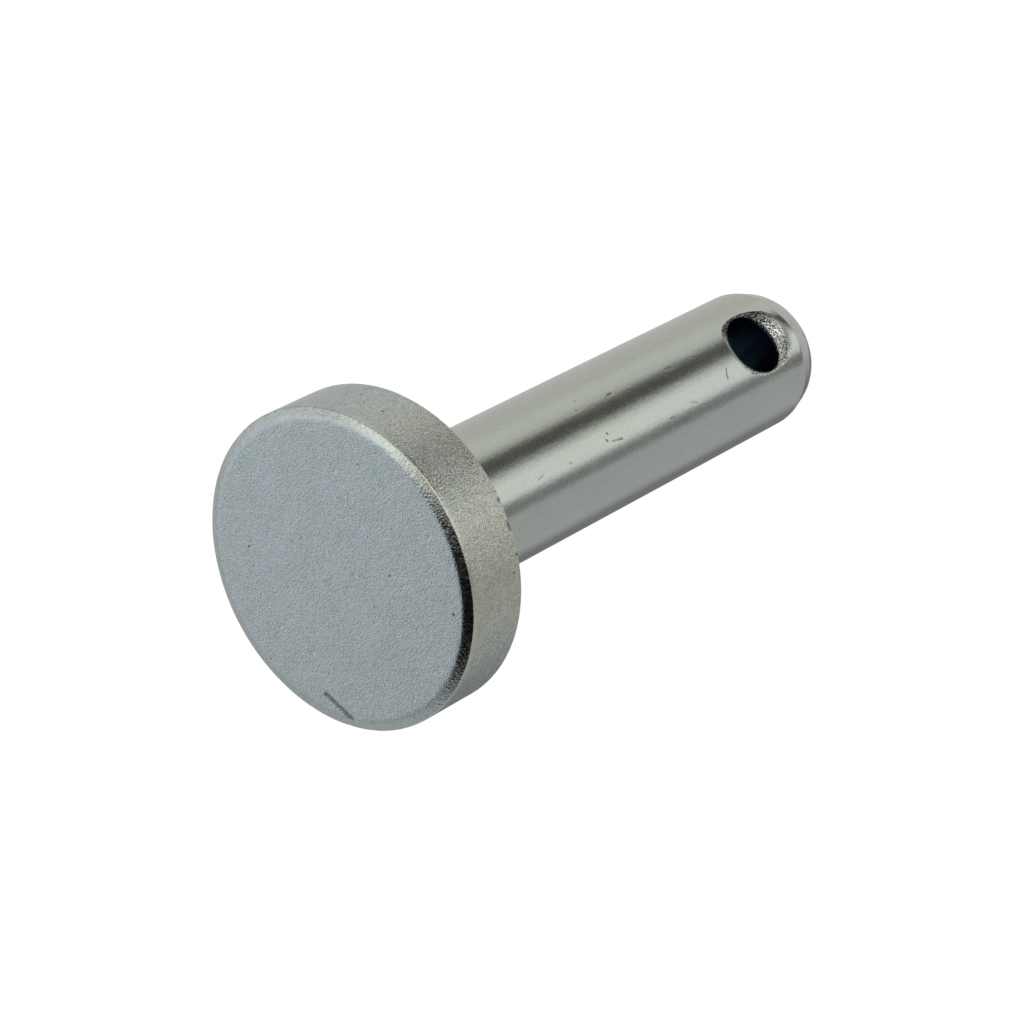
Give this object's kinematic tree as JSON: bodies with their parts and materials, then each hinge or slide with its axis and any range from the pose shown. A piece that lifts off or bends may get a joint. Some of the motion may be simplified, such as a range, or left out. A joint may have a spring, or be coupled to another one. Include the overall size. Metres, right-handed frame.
{
  "type": "clevis pin",
  "caption": "Steel pin with a thick round head, a plain shank and a countersunk cross hole near its rounded tip.",
  "frame": {"origin": "centre of the head's outer face, on which the pin stands", "axes": "+Z along the shank from the head to the tip; +X along the cross hole"},
  "size_m": [0.0604, 0.0604, 0.1346],
  "materials": {
    "zinc_plated_steel": "bright zinc plating: grainy on the forged head, smooth on the shank"
  },
  "bodies": {
    "root": {"clevis_pin": "zinc_plated_steel"}
  },
  "joints": []
}
